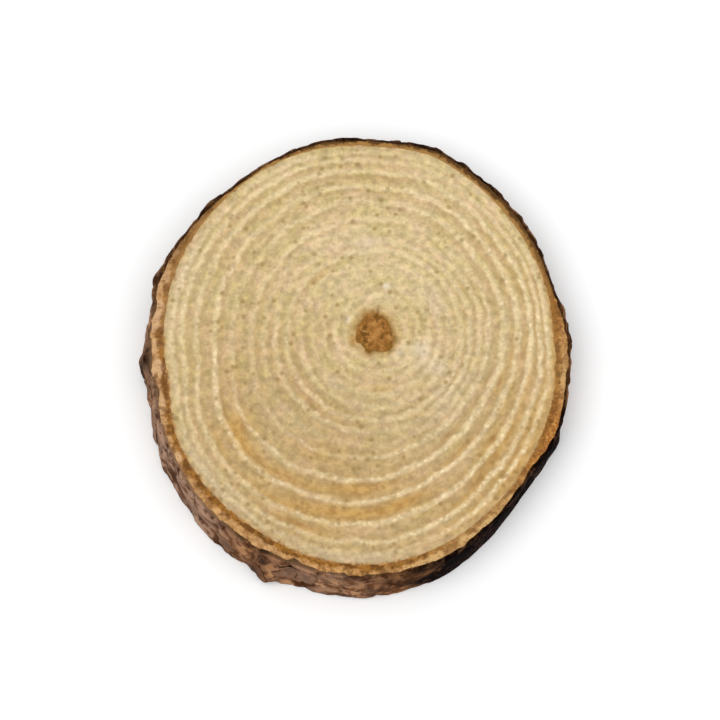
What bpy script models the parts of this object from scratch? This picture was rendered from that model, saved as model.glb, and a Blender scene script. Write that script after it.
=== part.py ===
"""A round slice sawn across a small tree trunk, with its bark on, grown as one piece.

The slice lies flat. +Z is up, and the origin is the middle of its underside.
Shapes are worked out in millimetres about the pith, then placed and turned into metres.
"""

import math

import bmesh
import bpy
import numpy as np
from mathutils import Vector
from mathutils.geometry import delaunay_2d_cdt

MM = 0.001
TURN = 2.0 * math.pi
SEED = 11
INSIDE_OUTLINE = 1
PLAN_TOLERANCE = 1e-6
WELD = 1e-4
SHARP_ANGLE = math.radians(40)
SIDE_TILT = math.radians(60)

# The slice, in millimetres
THICKNESS = 10.0
PITH_X = 4.8
PITH_Y = 5.7
LEAN_X = -0.9
LEAN_Y = -1.9

# Radius of the wood from the pith, and thickness of the bark round it, at the top face.
# One value every 15 degrees, anticlockwise from +X as seen from above.
WOOD_RADIUS = (
    42.2, 42.3, 42.7, 43.8, 45.6, 47.8, 48.2, 49.5, 50.0, 50.0, 50.2, 50.4,
    50.4, 50.7, 53.7, 55.1, 56.2, 57.3, 57.1, 54.9, 51.6, 48.4, 46.0, 43.9,
)
BARK_THICKNESS = (
    3.2, 1.8, 2.2, 2.1, 2.3, 2.0, 1.9, 1.8, 1.2, 1.2, 2.3, 3.3,
    3.7, 3.9, 2.8, 3.5, 3.5, 2.9, 2.7, 3.1, 2.3, 1.9, 3.2, 3.2,
)

# Growth rings, as a share of the wood's radius. Each shows as a shallow groove.
RING_SHARES = (
    0.135, 0.190, 0.245, 0.300, 0.360, 0.420, 0.470, 0.525, 0.580, 0.670, 0.755, 0.840, 0.905, 0.950,
)
# The middle rings grew wider on one side. This share is added to theirs, every 15 degrees.
RING_DRIFT = (
    0.005, 0.010, 0.010, 0.010, 0.010, 0.010, 0.010, 0.015, 0.010, 0.005, 0.000, 0.000,
    0.000, 0.015, 0.035, 0.045, 0.030, 0.005, -0.015, -0.035, -0.040, -0.040, -0.035, -0.015,
)
DRIFT_START = 0.35
DRIFT_FULL = 0.70
DRIFT_FADE = 0.80
GROOVE_WIDTH = 0.8
GROOVE_DEPTH = 0.25
ROUND_SHARE = 0.10
POINTS_AT_BARK = 62
FEWEST_POINTS = 20

# The pith: soft, ragged and worn a little hollow. Each arm is (angle, reach, half width).
PITH_RADIUS = 3.8
PITH_DEPTH = 0.5
PITH_INNER_SHARE = 0.5
PITH_POINTS = 40
PITH_ARMS = (
    (66, 0.8, 26), (92, 0.8, 13), (118, 1.2, 17), (162, 0.7, 18), (200, 0.8, 14), (246, 1.0, 16), (308, 1.2, 28),
)

# The bark, built up in layers: cambium line, inner bark, then outer bark in plates
CAMBIUM_WIDTH = 0.5
CAMBIUM_DEPTH = 0.35
INNER_BARK_SHARE = 0.45
LEAST_OUTER_BARK = 0.3
COLUMNS = 168
ROW_HEIGHTS = (9.75, 8.8, 7.3, 5.7, 4.1, 2.5, 1.0, 0.0)
EDGE_CHIP = 0.25

# Plates are tall cells about PLATE_WIDTH apart round the trunk, staggered up its side.
# Their relief is full where the bark is FULL_BARK thick, and less where it is thinner.
PLATE_WIDTH = 11.0
PLATE_HEIGHTS = (-3.0, 6.0, 15.0)
PLATE_SCATTER = 2.2
PLATE_STEP = 0.6
PLATE_STRETCH = 0.5
PLATE_BLEND = 0.7
CRACK_DEPTH = 0.4
CRACK_WIDTH = 2.8
FULL_BARK = 3.0
LEAST_RELIEF = 0.3

# Knots and torn flakes on the bark: (angle, height above the floor, how far out, half size)
KNOBS = (
    (246, 2.5, 2.0, 3.6),
    (238, 6.5, 0.8, 2.8),
    (211, 2.5, 1.0, 3.0),
    (185, 6.5, 1.2, 4.0),
    (164, 7.5, 1.3, 2.4),
    (140, 8.5, 0.7, 2.2),
    (73, 8.5, 0.8, 2.4),
    (64, 8.5, 0.6, 2.0),
    (51, 8.5, 0.7, 2.2),
    (40, 8.5, 0.5, 1.8),
    (9, 8.0, 0.9, 2.6),
    (356, 6.0, 1.0, 6.0),
    (330, 5.0, 0.7, 3.0),
    (266, 3.0, 0.6, 4.5),
)
# Where flakes have come away: (angle, height above the floor, how deep, half size)
SCARS = (
    (252, 6.8, 1.0, 2.2),
    (196, 6.5, 1.2, 3.0),
    (173, 7.5, 0.8, 2.0),
    (45, 8.5, 0.5, 1.3),
    (318, 5.0, 0.4, 2.5),
)

# On this side the bark is thin and smooth, and the wood tapers in below UNDERCUT_START
SMOOTH_SIDE_ANGLE = 305
SMOOTH_SIDE_HALF_WIDTH = 24
SMOOTH_SHARE = 0.75
UNDERCUT = 0.3
UNDERCUT_START = 7.5

# One finish for each layer, from the pith outwards: name, colour, roughness
FINISHES = (
    ("Pith", (0.34, 0.16, 0.045), 0.8),
    ("Wood", (0.62, 0.46, 0.24), 0.6),
    ("Inner Bark", (0.36, 0.19, 0.07), 0.75),
    ("Bark", (0.11, 0.055, 0.025), 0.9),
)


def smooth_step(low, high, value):
    """0 below low, 1 above high, and an S-curve between."""
    share = np.clip((value - low) / (high - low), 0.0, 1.0)
    return share * share * (3.0 - 2.0 * share)


def round_curve(values, angle):
    """Smooth closed curve through values spaced evenly round the circle (Catmull-Rom)."""
    values = np.asarray(values)
    place = np.mod(angle, TURN) / TURN * len(values)
    first = np.floor(place).astype(int)
    before, here, after, beyond = (values[(first + step) % len(values)] for step in (-1, 0, 1, 2))
    t = place - first
    cubic = 3.0 * (here - after) + beyond - before
    square = 2.0 * before - 5.0 * here + 4.0 * after - beyond
    return here + 0.5 * t * (after - before + t * (square + t * cubic))


def angle_gap(angle, degrees):
    """Signed angle in radians from a direction in degrees to each angle, the short way round."""
    return np.mod(angle - math.radians(degrees) + math.pi, TURN) - math.pi


def circle(count):
    """Evenly spaced angles, one for each point of a loop."""
    return np.arange(count) * TURN / count


def smooth_side(angle):
    """1 on the side where the bark is thin and smooth, falling to 0 round the rest."""
    off_side = angle_gap(angle, SMOOTH_SIDE_ANGLE) / math.radians(SMOOTH_SIDE_HALF_WIDTH)
    return np.exp(-off_side ** 4)


def wood_radius(angle, height):
    """The wood under the bark, which tapers in towards the floor on the smooth side."""
    taper = 1.0 - smooth_step(0.0, UNDERCUT_START, height)
    return round_curve(WOOD_RADIUS, angle) - UNDERCUT * smooth_side(angle) * taper


def bark_thickness(angle):
    return round_curve(BARK_THICKNESS, angle)


def ring_radius(share, angle, height):
    """A growth ring: nearly round by the pith, and more like the outline the further out it lies.

    The drift shifts the middle rings out or in by a part of the wood's mean radius.
    """
    mean = np.mean(WOOD_RADIUS)
    follow = smooth_step(ROUND_SHARE, 1.0, share)
    drifting = smooth_step(DRIFT_START, DRIFT_FULL, share) * (1.0 - smooth_step(DRIFT_FADE, 1.0, share))
    drift = round_curve(RING_DRIFT, angle) * drifting * mean
    return share * (mean * (1.0 - follow) + wood_radius(angle, height) * follow) + drift


def pith_radius(angle):
    """A small circle with a bell-shaped arm added at each of the pith's ragged points."""
    radius = np.full_like(angle, PITH_RADIUS)
    for degrees, reach, half_width in PITH_ARMS:
        radius += reach * np.exp(-(angle_gap(angle, degrees) / math.radians(half_width)) ** 2)
    return radius


def plate_relief(angle, height):
    """How far the bark stands out: cells round scattered seeds, each at its own height.

    A point takes the height of its nearest seed, blended over a short way into the next.
    Where the two nearest seeds are about equally far, it drops into the crack between plates.
    """
    rng = np.random.default_rng(SEED)
    mean_radius = np.mean(WOOD_RADIUS) + np.mean(BARK_THICKNESS)
    count = round(TURN * mean_radius / PLATE_WIDTH)
    columns, rows = np.meshgrid(np.arange(count), np.arange(len(PLATE_HEIGHTS)))
    shift = 0.5 * (rows % 2) + rng.uniform(-0.33, 0.33, rows.shape)
    seed_angle = ((columns + shift) * TURN / count).ravel()
    scatter = rng.uniform(-PLATE_SCATTER, PLATE_SCATTER, rows.shape)
    seed_height = (np.asarray(PLATE_HEIGHTS)[rows] + scatter).ravel()
    seed_step = rng.uniform(-0.5, 0.5, rows.size) * PLATE_STEP

    sideways = np.mod(angle[:, None] - seed_angle + math.pi, TURN) - math.pi
    upward = (height[:, None] - seed_height) * PLATE_STRETCH
    distance = np.hypot(sideways * mean_radius, upward)
    nearest, second = np.sort(distance, axis=1)[:, :2].T
    pull = np.exp((nearest[:, None] - distance) / PLATE_BLEND)
    step = pull @ seed_step / pull.sum(axis=1)
    crack = 1.0 - smooth_step(0.0, CRACK_WIDTH, second - nearest)
    return step - CRACK_DEPTH * crack


def spots(angle, height, places):
    """Sum of round bell-shaped bumps, each (angle, height, size outwards, half size)."""
    total = np.zeros_like(angle)
    for degrees, middle, out, half_size in places:
        sideways = angle_gap(angle, degrees) * np.mean(WOOD_RADIUS) / half_size
        upward = (height - middle) / half_size
        total += out * np.exp(-sideways ** 2 - upward ** 2)
    return total


def bark_radius(angle, height):
    """Outside of the bark: wood and bark thickness, with plates, knobs, scars and a chipped edge."""
    bark = bark_thickness(angle)
    thick_enough = np.clip(bark / FULL_BARK, LEAST_RELIEF, 1.0)
    roughness = thick_enough * (1.0 - SMOOTH_SHARE * smooth_side(angle))
    relief = roughness * plate_relief(angle, height)
    relief += spots(angle, height, KNOBS) - spots(angle, height, SCARS)
    relief -= EDGE_CHIP * (1.0 - smooth_step(ROW_HEIGHTS[-1], ROW_HEIGHTS[-2], height))
    thinnest = INNER_BARK_SHARE * bark + LEAST_OUTER_BARK
    return wood_radius(angle, height) + np.maximum(bark + relief, thinnest)


def loop_points(radius, angle, height):
    """Points of one closed loop, with the pith's lean taken in at that height."""
    height = np.broadcast_to(height, angle.shape)
    below = 1.0 - height / THICKNESS
    x = PITH_X + LEAN_X * below + radius * np.cos(angle)
    y = PITH_Y + LEAN_Y * below + radius * np.sin(angle)
    return np.column_stack((x, y, height))


def pith_loops(face, inwards):
    """The pith's edge at the face, and a smaller sunk loop inside it."""
    angle = circle(PITH_POINTS)
    edge = pith_radius(angle)
    return [
        loop_points(edge * PITH_INNER_SHARE, angle, face + inwards * PITH_DEPTH),
        loop_points(edge, angle, face),
    ]


def ring_loops(face, inwards, shares):
    """Three loops for each growth ring: the two lips of a shallow groove and its bottom."""
    loops = []
    for share in shares:
        count = max(FEWEST_POINTS, round(POINTS_AT_BARK * math.sqrt(share)))
        angle = circle(count)
        middle = ring_radius(share, angle, face)
        for offset, depth in ((-0.5, 0.0), (0.0, GROOVE_DEPTH), (0.5, 0.0)):
            loops.append(loop_points(middle + offset * GROOVE_WIDTH, angle, face + inwards * depth))
    return loops


def bark_loops(face, inwards, rim):
    """The wood's edge, the sunk cambium line, the inner bark and the outer bark's broken rim."""
    angle = circle(COLUMNS)
    wood = wood_radius(angle, face)
    cambium = wood + 0.5 * CAMBIUM_WIDTH
    inner_bark = wood + INNER_BARK_SHARE * bark_thickness(angle)
    return [
        loop_points(wood - 0.5 * CAMBIUM_WIDTH, angle, face),
        loop_points(cambium, angle, face + inwards * CAMBIUM_DEPTH),
        loop_points(inner_bark, angle, face),
        rim,
    ]


def fill_loops(loops):
    """Triangulate the region inside the last loop in plan, keeping every loop's edges.

    The loops lie one inside the other. Each corner keeps the height that its loop gives it.
    """
    points = np.vstack(loops)
    edges = []
    start = 0
    for loop in loops:
        count = len(loop)
        edges += [(start + i, start + (i + 1) % count) for i in range(count)]
        start += count
    plan = [Vector(point[:2]) for point in points]
    filled = delaunay_2d_cdt(plan, edges, [], INSIDE_OUTLINE, PLAN_TOLERANCE)
    corners = [points[source[0]] for source in filled[3]]
    return corners, filled[2]


def add_face(bm, loops, upwards):
    """Add one sawn face of the slice to the mesh."""
    corners, triangles = fill_loops(loops)
    verts = [bm.verts.new(corner) for corner in corners]
    for triangle in triangles:
        order = triangle if upwards else triangle[::-1]
        bm.faces.new([verts[index] for index in order])


def add_side(bm, rows):
    """Roll a grid round the slice: its columns run round the bark, its rows down the side."""
    down = len(rows) - 1
    made = bmesh.ops.create_grid(bm, x_segments=COLUMNS, y_segments=down, size=0.5)
    for vert in made["verts"]:
        column = round((vert.co.x + 0.5) * COLUMNS) % COLUMNS
        row = round((vert.co.y + 0.5) * down)
        vert.co = rows[down - row][column]


def slice_mesh():
    """The whole slice as one closed body, in millimetres."""
    angle = circle(COLUMNS)
    rows = [loop_points(bark_radius(angle, np.full_like(angle, h)), angle, h) for h in ROW_HEIGHTS]
    top = pith_loops(THICKNESS, -1.0) + ring_loops(THICKNESS, -1.0, RING_SHARES)
    top += bark_loops(THICKNESS, -1.0, rows[0])
    underside = pith_loops(0.0, 1.0) + ring_loops(0.0, 1.0, RING_SHARES[1::2])
    underside += bark_loops(0.0, 1.0, rows[-1])
    bm = bmesh.new()
    add_side(bm, rows)
    add_face(bm, top, upwards=True)
    add_face(bm, underside, upwards=False)
    bmesh.ops.remove_doubles(bm, verts=bm.verts, dist=WELD)
    return bm


def finish_of(centre, normal):
    """Which layer of the tree a face shows, counted from the pith outwards."""
    below = 1.0 - centre.z / THICKNESS
    x = centre.x - PITH_X - LEAN_X * below
    y = centre.y - PITH_Y - LEAN_Y * below
    angle = np.array([math.atan2(y, x)])
    radius = math.hypot(x, y)
    wood = wood_radius(angle, centre.z)[0]
    edges = (pith_radius(angle)[0], wood, wood + INNER_BARK_SHARE * bark_thickness(angle)[0])
    on_sawn_face = abs(normal.z) > math.cos(SIDE_TILT)
    return sum(radius > edge for edge in edges) if on_sawn_face else len(edges)


def finish_material(name, colour, roughness):
    material = bpy.data.materials.new(name)
    material.use_nodes = True
    shader = material.node_tree.nodes["Principled BSDF"]
    shader.inputs["Base Color"].default_value = (*colour, 1.0)
    shader.inputs["Roughness"].default_value = roughness
    shader.inputs["Metallic"].default_value = 0.0
    return material


def build():
    for item in list(bpy.data.objects):
        bpy.data.objects.remove(item, do_unlink=True)
    collection = bpy.data.collections.new("Wood Slice")
    bpy.context.scene.collection.children.link(collection)

    bm = slice_mesh()
    for face in bm.faces:
        face.material_index = finish_of(face.calc_center_median(), face.normal)
    bmesh.ops.scale(bm, vec=(MM, MM, MM), verts=bm.verts)
    mesh = bpy.data.meshes.new("wood_slice")
    bm.to_mesh(mesh)
    bm.free()
    for name, colour, roughness in FINISHES:
        mesh.materials.append(finish_material(name, colour, roughness))
    mesh.shade_smooth()
    mesh.set_sharp_from_angle(angle=SHARP_ANGLE)
    collection.objects.link(bpy.data.objects.new("wood_slice", mesh))


build()
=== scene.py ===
# The wood slice's finished surfaces: sawn wood, cambium, inner bark and flaky outer bark.
# Lengths are in millimetres about the pith until they go into a mesh, which is in metres.

import math

import bmesh
import bpy
import numpy as np
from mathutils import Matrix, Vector


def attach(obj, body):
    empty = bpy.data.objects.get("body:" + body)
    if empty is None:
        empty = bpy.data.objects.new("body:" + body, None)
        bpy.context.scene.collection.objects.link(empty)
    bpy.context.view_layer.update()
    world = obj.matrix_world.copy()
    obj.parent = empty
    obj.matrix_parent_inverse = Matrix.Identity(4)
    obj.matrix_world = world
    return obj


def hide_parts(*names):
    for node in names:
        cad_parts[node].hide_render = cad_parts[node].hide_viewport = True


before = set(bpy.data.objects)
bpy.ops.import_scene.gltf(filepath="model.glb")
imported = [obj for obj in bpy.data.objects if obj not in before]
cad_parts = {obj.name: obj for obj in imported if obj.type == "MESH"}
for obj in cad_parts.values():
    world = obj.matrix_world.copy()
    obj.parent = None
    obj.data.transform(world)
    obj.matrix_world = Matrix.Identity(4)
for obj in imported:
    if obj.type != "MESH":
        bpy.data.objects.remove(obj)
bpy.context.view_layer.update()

MM = 0.001
TURN = 2.0 * math.pi

# The slice's main sizes, as the solid has them
THICKNESS = 10.0
PITH_X = 4.8
PITH_Y = 5.7
LEAN_X = -0.9
LEAN_Y = -1.9
WOOD_RADIUS = (
    42.2, 42.3, 42.7, 43.8, 45.6, 47.8, 48.2, 49.5, 50.0, 50.0, 50.2, 50.4,
    50.4, 50.7, 53.7, 55.1, 56.2, 57.3, 57.1, 54.9, 51.6, 48.4, 46.0, 43.9,
)
BARK_THICKNESS = (
    3.2, 1.8, 2.2, 2.1, 2.3, 2.0, 1.9, 1.8, 1.2, 1.2, 2.3, 3.3,
    3.7, 3.9, 2.8, 3.5, 3.5, 2.9, 2.7, 3.1, 2.3, 1.9, 3.2, 3.2,
)
MEAN_WOOD = float(np.mean(WOOD_RADIUS))
MEAN_BARK = float(np.mean(BARK_THICKNESS))
RING_SHARES = np.array((
    0.135, 0.190, 0.245, 0.300, 0.360, 0.420, 0.470, 0.525, 0.580, 0.670, 0.755, 0.840, 0.905, 0.950,
))
# The middle rings grew wider on one side. This share is added to theirs, every 15 degrees.
RING_DRIFT = (
    0.005, 0.010, 0.010, 0.010, 0.010, 0.010, 0.010, 0.015, 0.010, 0.005, 0.000, 0.000,
    0.000, 0.015, 0.035, 0.045, 0.030, 0.005, -0.015, -0.035, -0.040, -0.040, -0.035, -0.015,
)
DRIFT_START = 0.35
DRIFT_FULL = 0.70
DRIFT_FADE = 0.80
ROUND_SHARE = 0.10

# The pith is a soft ragged plug, sunk in a socket of the wood.
# Each arm of its outline is (angle, reach, half width)
PITH_RADIUS = 3.8
PITH_DEPTH = 0.45
PITH_SOCKET_DEPTH = 1.3
PITH_SOCKET_RAGGED = 0.045
PITH_HIDDEN_REACH = 1.2
PITH_CRUMBLE = 0.14
PITH_ARMS = (
    (66, 0.8, 26), (92, 0.8, 13), (118, 1.2, 17), (162, 0.7, 18),
    (200, 0.8, 14), (246, 1.0, 16), (308, 1.2, 28),
)

# Bark plates, knots and scars, as the solid has them
PLATE_SEED = 11
PLATE_WIDTH = 11.0
PLATE_HEIGHTS = (-3.0, 6.0, 15.0)
PLATE_SCATTER = 2.2
PLATE_STEP = 0.6
PLATE_STRETCH = 0.5
PLATE_BLEND = 0.7
CRACK_DEPTH = 0.4
CRACK_WIDTH = 2.8
FULL_BARK = 3.0
LEAST_RELIEF = 0.3
INNER_BARK_SHARE = 0.45
LEAST_OUTER_BARK = 0.3
KNOBS = (
    (246, 2.5, 2.0, 3.6), (238, 6.5, 0.8, 2.8), (211, 2.5, 1.0, 3.0), (185, 6.5, 1.2, 4.0),
    (164, 7.5, 1.3, 2.4), (140, 8.5, 0.7, 2.2), (73, 8.5, 0.8, 2.4), (64, 8.5, 0.6, 2.0),
    (51, 8.5, 0.7, 2.2), (40, 8.5, 0.5, 1.8), (9, 8.0, 0.9, 2.6), (356, 6.0, 1.0, 6.0),
    (330, 5.0, 0.7, 3.0), (266, 3.0, 0.6, 4.5),
)
SCARS = (
    (252, 6.8, 1.0, 2.2), (196, 6.5, 1.2, 3.0), (173, 7.5, 0.8, 2.0), (45, 8.5, 0.5, 1.3),
    (318, 5.0, 0.4, 2.5),
)
SMOOTH_SIDE_ANGLE = 305
SMOOTH_SIDE_HALF_WIDTH = 24
SMOOTH_SHARE = 0.75
UNDERCUT = 0.3
UNDERCUT_START = 7.5
# The bark's random relief is drawn for a sheet of this height that goes once round the trunk
SHEET_HEIGHT = 20.0

# How pale the outside and how dark the inside of each growth line is, in the order of RING_SHARES
LINE_TONES = (
    (0.40, 0.30), (0.75, 0.60), (0.50, 0.60), (0.60, 0.50), (0.55, 0.40), (0.90, 0.75), (0.80, 0.80),
    (0.60, 0.50), (0.75, 0.60), (0.90, 0.80), (0.95, 0.90), (1.00, 1.00), (0.95, 0.90), (0.70, 0.60),
)
# How clearly the outer lines show, every 15 degrees
LINE_CLARITY = (
    1.04, 0.95, 0.86, 0.78, 0.74, 0.74, 0.72, 0.70, 0.68, 0.68, 0.70, 0.72,
    0.74, 0.78, 0.80, 0.84, 0.84, 0.80, 0.80, 0.92, 1.12, 1.24, 1.26, 1.15,
)
# How clearly the inner lines show, every 30 degrees
INNER_CLARITY = (0.74, 0.62, 0.52, 0.52, 0.54, 0.58, 0.64, 0.76, 0.84, 0.84, 0.80, 0.76)
NARROWEST_YEAR = 2.4

# Fineness of the grids
WOOD_COLUMNS = 360
PITH_COLUMNS = 120
BARK_COLUMNS = 1000
INNER_BARK_COLUMNS = 720
FACE_ROWS_TOP = 84
FACE_ROWS_UNDER = 56
GROOVE_ROWS_TOP = (-0.5, -0.25, 0.0, 0.25, 0.5)
GROOVE_ROWS_UNDER = (-0.4, 0.0, 0.4)
PITH_ROWS = np.arange(2.6, 6.4, 0.18)
CLOSEST_ROWS = 0.12
BARK_TOP_ROWS = 14
BARK_CORNER_ROWS = 4
BARK_SIDE_ROWS = 44
BARK_UNDER_ROWS = 8

# Relief of the sawn faces
GROOVE_DEPTH = 0.07
GROOVE_HALF_WIDTH = 0.32
CAMBIUM_DEPTH = 0.15
CAMBIUM_HALF_WIDTH = 0.30
SANDING_WAVE = 0.02
SAW_MARK_DEPTH = 0.025
SAW_MARK_WIDTH = 1.7
# Hairline checks in the wood: (angle, first radius, last radius, half width, depth)
CHECKS = (
    (85, 4.8, 8.4, 0.34, 0.30),
    (352, 4.8, 6.8, 0.20, 0.08),
    (139, 4.8, 7.0, 0.20, 0.08),
)

# Where the inner bark ends, as a share of the bark's thickness, every 30 degrees
INNER_EDGE = (0.85, 0.72, 0.62, 0.50, 0.52, 0.68, 0.70, 0.60, 0.66, 0.70, 0.66, 0.80)
INNER_EDGE_RAGGED = 0.12
# How clearly a brown line parts the wood from the bark, every 30 degrees
CAMBIUM_CLARITY = (0.7, 0.5, 0.4, 0.3, 0.3, 0.5, 0.85, 0.95, 1.0, 1.0, 0.45, 0.8)
FIBRE_RELIEF = 0.05
CRUMB_RELIEF = 0.14
LAYER_OVERLAP = 0.5
LAYER_DROP = 0.8
LEAST_COVER = 0.35
HIDDEN_IN_WOOD = 0.3
HIDDEN_WALL_OUT = 0.3
HIDDEN_WALL_FROM_FACE = 1.4

# The bark's own layers, which flake off one by one: (seed, threshold, thickness)
FLAKE_LAYERS = ((21, -0.35, 0.12), (22, -0.12, 0.11), (23, 0.08, 0.10), (24, 0.28, 0.09))
FLAKE_CELLS_ROUND = 46
FLAKE_CELLS_UP = 4
FLAKE_EDGE = 0.05
FLAKE_MIDDLE = 0.21
GRAIN_RELIEF = 0.06
RIDGE_RELIEF = 0.05
CORNER = 0.4

# Loose scales on the bark
SCALE_SEED = 5
SCALE_COUNT = 44
SCALE_POINTS = 16
SCALE_RINGS = 4

# Camera: the pith's pixel in the picture, and the picture's scale at the top face
PICTURE_SIDE = 720
MM_PER_PIXEL = 0.235
PITH_PIXEL = (376, 333)
CAMERA_DISTANCE = 800.0
CAMERA_TILT = math.radians(20)
SENSOR = 36.0

# Lights: (name, strength, then softness, tilt from straight down and turn in degrees)
LIGHTS = (("key", 0.95, 60.0, 26.0, -60.0), ("fill", 0.3, 60.0, 50.0, 60.0))
SURROUND_STRENGTH = 0.88
FLOOR_GREY = 0.93


# Shapes that the surfaces share

def smooth_step(low, high, value):
    """0 below low, 1 above high, and an S-curve between."""
    share = np.clip((value - low) / (high - low), 0.0, 1.0)
    return share * share * (3.0 - 2.0 * share)


def bell(value, half_width):
    """1 at zero, falling off both ways like a bell."""
    return np.exp(-(value / half_width) ** 2)


def round_curve(values, angle):
    """Smooth closed curve through values spaced evenly round the circle (Catmull-Rom)."""
    values = np.asarray(values)
    place = np.mod(angle, TURN) / TURN * len(values)
    first = np.floor(place).astype(int)
    before, here, after, beyond = (values[(first + step) % len(values)] for step in (-1, 0, 1, 2))
    t = place - first
    cubic = 3.0 * (here - after) + beyond - before
    square = 2.0 * before - 5.0 * here + 4.0 * after - beyond
    return here + 0.5 * t * (after - before + t * (square + t * cubic))


def angle_gap(angle, degrees):
    """Signed angle in radians from a direction in degrees to each angle, the short way round."""
    return np.mod(angle - math.radians(degrees) + math.pi, TURN) - math.pi


def blotches(seed, across, down, u, v):
    """Smooth random values from -1 to 1 over a wrapped sheet.

    Values are drawn at the corners of a grid of across by down cells, and blended with
    S-curves between the four corners round each point. u and v count whole sheets.
    """
    drawn = np.random.default_rng(seed).uniform(-1.0, 1.0, (down, across))
    column_place = np.mod(u, 1.0) * across
    row_place = np.mod(v, 1.0) * down
    column = np.floor(column_place).astype(int) % across
    row = np.floor(row_place).astype(int) % down
    s = smooth_step(0.0, 1.0, column_place - np.floor(column_place))
    t = smooth_step(0.0, 1.0, row_place - np.floor(row_place))
    right = (column + 1) % across
    above = (row + 1) % down
    low = drawn[row, column] * (1.0 - s) + drawn[row, right] * s
    high = drawn[above, column] * (1.0 - s) + drawn[above, right] * s
    return low * (1.0 - t) + high * t


def rough(seed, across, down, u, v, octaves=4):
    """Blotches of several sizes added up, each half the size and half the height of the last."""
    total = np.zeros(np.broadcast(u, v).shape)
    for octave in range(octaves):
        finer = 2 ** octave
        total += blotches(seed + 101 * octave, across * finer, down * finer, u, v) / finer
    return total


def over_side(seed, across, down, angle, height, octaves=1):
    """Rough values over the trunk's side, from a sheet that wraps round it."""
    return rough(seed, across, down, angle / TURN, height / SHEET_HEIGHT, octaves)


def smooth_side(angle):
    """1 on the side where the bark is thin and smooth, falling to 0 round the rest."""
    return np.exp(-(angle_gap(angle, SMOOTH_SIDE_ANGLE) / math.radians(SMOOTH_SIDE_HALF_WIDTH)) ** 4)


def wood_radius(angle, height):
    """The wood under the bark, which tapers in towards the floor on the smooth side."""
    taper = 1.0 - smooth_step(0.0, UNDERCUT_START, height)
    return round_curve(WOOD_RADIUS, angle) - UNDERCUT * smooth_side(angle) * taper


def bark_thickness(angle):
    """The bark's mean thickness, as a smooth curve through its values round the trunk."""
    return round_curve(BARK_THICKNESS, angle)


def ring_shape(share, angle, height):
    """Radius of a growth line: nearly round by the pith, like the outline further out.

    The drift shifts the middle rings out or in by a part of the wood's mean radius.
    """
    follow = smooth_step(ROUND_SHARE, 1.0, share)
    drifting = smooth_step(DRIFT_START, DRIFT_FULL, share) * (1.0 - smooth_step(DRIFT_FADE, 1.0, share))
    drift = round_curve(RING_DRIFT, angle) * drifting * MEAN_WOOD
    return share * (MEAN_WOOD * (1.0 - follow) + wood_radius(angle, height) * follow) + drift


def pith_radius(angle):
    """A small circle with a bell-shaped arm added at each of the pith's ragged points."""
    radius = np.full(angle.shape, PITH_RADIUS)
    for degrees, reach, half_width in PITH_ARMS:
        radius += reach * bell(angle_gap(angle, degrees), math.radians(half_width))
    return radius


def plate_relief(angle, height):
    """The bark's tall plates and the cracks between them, as (relief, crack).

    Each point takes the height of its nearest seed, blended over a short way into the
    next. Where the two nearest seeds are about equally far lies a crack.
    """
    rng = np.random.default_rng(PLATE_SEED)
    mean_radius = MEAN_WOOD + MEAN_BARK
    count = round(TURN * mean_radius / PLATE_WIDTH)
    columns, rows = np.meshgrid(np.arange(count), np.arange(len(PLATE_HEIGHTS)))
    shift = 0.5 * (rows % 2) + rng.uniform(-0.33, 0.33, rows.shape)
    seed_angle = ((columns + shift) * TURN / count).ravel()
    scatter = rng.uniform(-PLATE_SCATTER, PLATE_SCATTER, rows.shape)
    seed_height = (np.asarray(PLATE_HEIGHTS)[rows] + scatter).ravel()
    seed_step = rng.uniform(-0.5, 0.5, rows.size) * PLATE_STEP

    nearest = np.full(angle.shape, 1e9)
    second = np.full(angle.shape, 1e9)
    weight = np.zeros(angle.shape)
    total = np.zeros(angle.shape)
    for at, up, step in zip(seed_angle, seed_height, seed_step):
        sideways = np.mod(angle - at + math.pi, TURN) - math.pi
        distance = np.hypot(sideways * mean_radius, (height - up) * PLATE_STRETCH)
        second = np.minimum(second, np.maximum(nearest, distance))
        nearest = np.minimum(nearest, distance)
        pull = np.exp(-distance / PLATE_BLEND)
        weight += pull
        total += pull * step
    crack = 1.0 - smooth_step(0.0, CRACK_WIDTH, second - nearest)
    return total / weight - CRACK_DEPTH * crack, crack


def spots(angle, height, places):
    """Sum of round bell-shaped bumps, each (angle, height, size outwards, half size)."""
    total = np.zeros(angle.shape)
    for degrees, middle, out, half_size in places:
        sideways = angle_gap(angle, degrees) * MEAN_WOOD
        total += out * bell(sideways, half_size) * bell(height - middle, half_size)
    return total


def flake_layers(angle, height):
    """The bark's thin outer layers, as (relief, how many layers are left).

    Each layer is there where its own blotches rise above a threshold, with a steep edge.
    """
    u = angle / TURN + 0.004 * over_side(61, 120, 5, angle, height)
    v = height / SHEET_HEIGHT
    relief = np.zeros(angle.shape)
    left = np.zeros(angle.shape)
    for seed, threshold, thickness in FLAKE_LAYERS:
        cover = rough(seed, FLAKE_CELLS_ROUND, FLAKE_CELLS_UP, u, v, 4) / 1.4
        there = smooth_step(threshold - FLAKE_EDGE, threshold + FLAKE_EDGE, cover)
        relief += thickness * there
        left += there
    return relief - FLAKE_MIDDLE, left


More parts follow.
